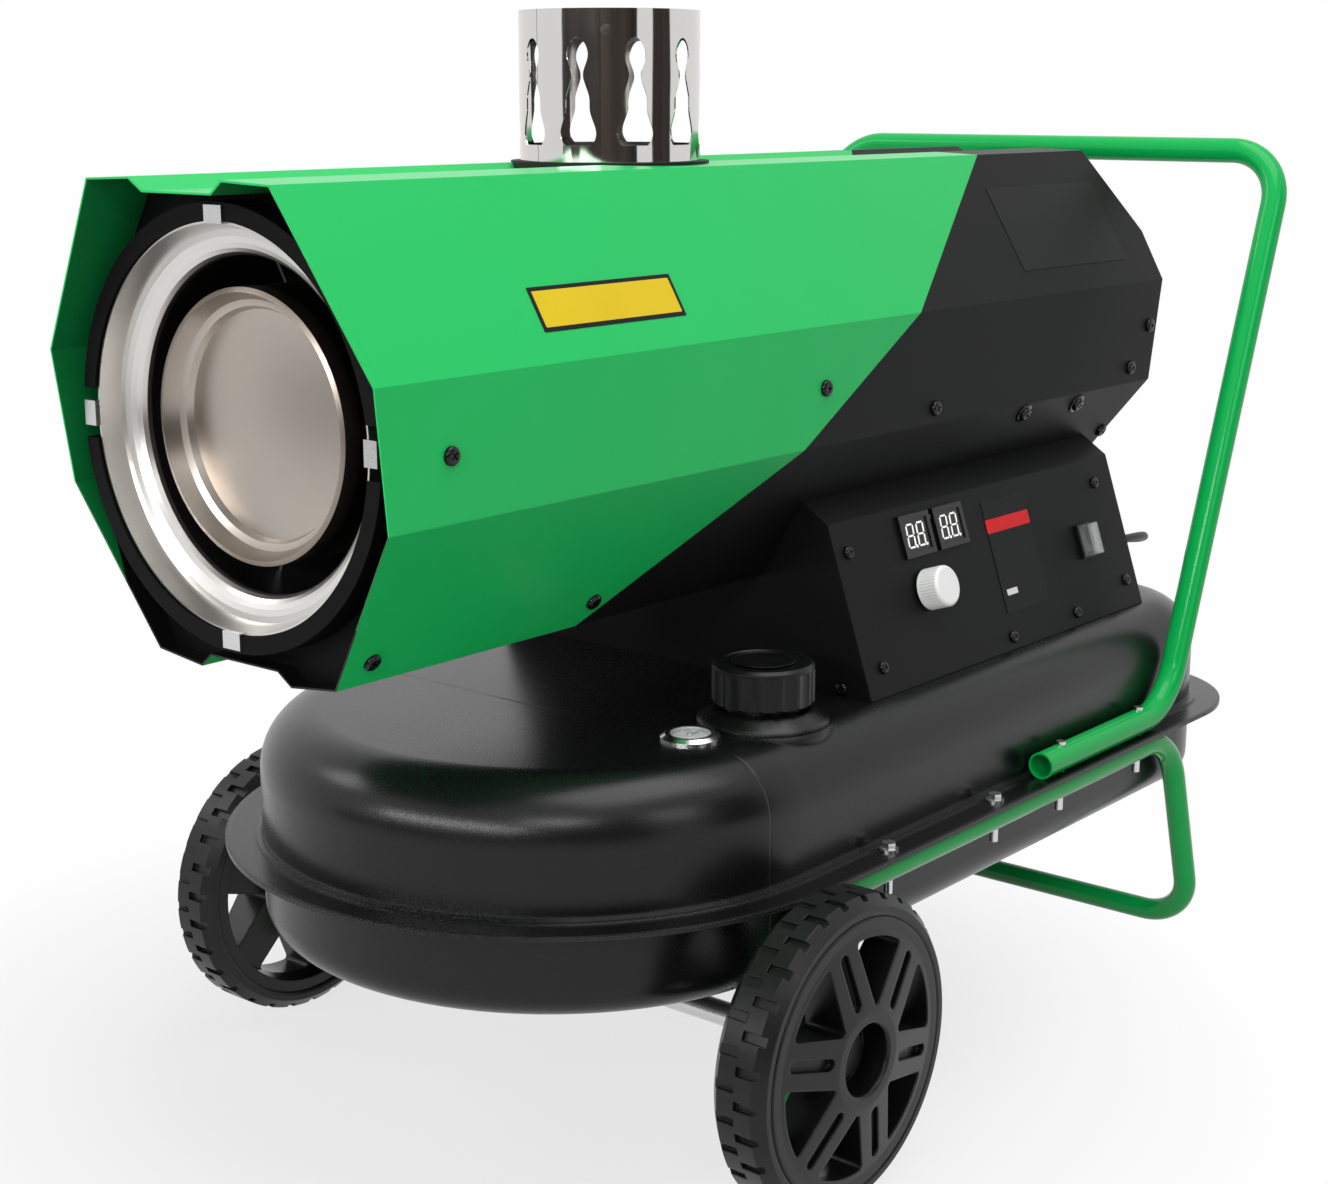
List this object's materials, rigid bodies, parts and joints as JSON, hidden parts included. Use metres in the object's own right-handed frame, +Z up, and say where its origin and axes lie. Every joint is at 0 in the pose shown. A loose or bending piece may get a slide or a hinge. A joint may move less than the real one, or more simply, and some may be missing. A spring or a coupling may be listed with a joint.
{
  "type": "indirect-fired oil heater",
  "caption": "Mobile indirect oil heater: eight-sided two-tone casing with round hot-air outlet and slotted flue stub, on a flanged fuel tank with two wheels, rear stand and push handle.",
  "frame": {"origin": "on the floor under the middle of the box round the heater, without its lead", "axes": "+Z up, -Y the way the hot air leaves, +X the control panel side"},
  "size_m": [0.554, 0.9733, 0.735],
  "materials": {
    "green_paint": "satin powder coat",
    "green_tube": "gloss paint on tube",
    "black_paint": "matt powder coat",
    "tank_paint": "satin powder coat",
    "stainless": "brushed",
    "polished_steel": "polished stainless",
    "sheet_steel": "plain sheet",
    "zinc": "zinc plated",
    "aluminium": "cast",
    "copper": "drawn pipe",
    "black_plastic": "moulded",
    "gloss_black": "moulded",
    "white_plastic": "moulded",
    "ceramic": "fired ceramic",
    "board": "laminate",
    "clear": "clear moulding",
    "tyre": "moulded tread",
    "rim": "moulded",
    "rubber": "matt",
    "gasket": "matt",
    "red": "moulded"
  },
  "bodies": {
    "heater": {"casing_upper_front": "green_paint", "casing_lower_front": "green_paint", "casing_upper_rear": "black_paint", "casing_lower_rear": "black_paint", "front_plate": "black_paint", "outlet_ring": "stainless", "outlet_clips": "zinc", "air_liner": "sheet_steel", "air_baffle": "sheet_steel", "flue_riser": "sheet_steel", "chamber_drum": "stainless", "drum_end_cap": "stainless", "drum_supports": "sheet_steel", "flue_stub": "polished_steel", "flue_gasket": "gasket", "burner_tube": "sheet_steel", "nozzle": "copper", "burner_probes": "ceramic", "motor": "aluminium", "motor_cradle": "sheet_steel", "rear_plate": "black_paint", "rear_guard": "black_paint", "tank_upper": "tank_paint", "tank_lower": "tank_paint", "filler_neck": "black_paint", "gauge_body": "polished_steel", "gauge_dome": "clear", "cabinet": "black_paint", "service_panel": "black_paint", "control_panel": "black_paint", "displays": "gloss_black", "thermostat": "black_plastic", "switch_bezel": "black_plastic", "switch_cover": "clear", "ignition_transformer": "black_plastic", "fuel_pump": "aluminium", "fuel_filter": "clear", "fuel_lines": "copper", "control_board": "board", "frame_tube": "green_tube", "handle": "green_tube", "frame_bolts": "zinc", "axle": "zinc", "axle_collars": "black_plastic", "cord_gland": "rubber", "cord": "rubber", "cord_coil": "rubber", "cord_tie": "black_plastic", "plug": "rubber"},
    "right_wheel": {"wheel_rim_right": "rim", "wheel_tyre_right": "tyre"},
    "left_wheel": {"wheel_rim_left": "rim", "wheel_tyre_left": "tyre"},
    "fan_rotor": {"fan": "aluminium"},
    "knob": {"thermostat_knob": "white_plastic"},
    "switch_rocker": {"rocker": "gloss_black"},
    "cap_lifter": {"cap_seal": "rubber"},
    "cap": {"fuel_cap": "black_plastic"},
    "float": {"float_arm": "aluminium"},
    "needle": {"gauge_needle": "red"}
  },
  "joints": [
    {"name": "right_wheel_spin", "type": "hinge", "parent": "heater", "child": "right_wheel", "pos_m": [0.2505, -0.19517, 0.102], "axis": [1, 0, 0], "continuous": true},
    {"name": "left_wheel_spin", "type": "hinge", "parent": "heater", "child": "left_wheel", "pos_m": [-0.2505, -0.19517, 0.102], "axis": [1, 0, 0], "continuous": true},
    {"name": "fan_spin", "type": "hinge", "parent": "heater", "child": "fan_rotor", "pos_m": [0, 0.29883, 0.4955], "axis": [0, 1, 0], "continuous": true},
    {"name": "thermostat_turn", "type": "hinge", "parent": "heater", "child": "knob", "pos_m": [0.15767, 0.05133, 0.33945], "axis": [0.9483, 0, 0.3174], "range_deg": [-135, 135]},
    {"name": "switch_tilt", "type": "hinge", "parent": "heater", "child": "switch_rocker", "pos_m": [0.15198, 0.27783, 0.33754], "axis": [0, -1, 0], "range_deg": [-16, 0]},
    {"name": "cap_lift", "type": "slide", "parent": "heater", "child": "cap_lifter", "axis": [0, 0, 1], "range_m": [0, 0.006]},
    {"name": "cap_turn", "type": "hinge", "parent": "cap_lifter", "child": "cap", "pos_m": [0.141, -0.12517, 0.313], "axis": [0, 0, 1], "range_deg": [0, 540]},
    {"name": "float_swing", "type": "hinge", "parent": "heater", "child": "float", "pos_m": [0.131, -0.18917, 0.2457], "axis": [0, 1, 0], "range_deg": [0, 47]},
    {"name": "needle_turn", "type": "hinge", "parent": "heater", "child": "needle", "pos_m": [0.131, -0.18917, 0.2809], "axis": [0, 0, 1], "range_deg": [0, 95]}
  ],
  "couplings": [
    {"joint": "cap_lift", "follows": "cap_turn", "m_per_rad": 0.00063662},
    {"joint": "needle_turn", "follows": "float_swing", "ratio": 2}
  ]
}
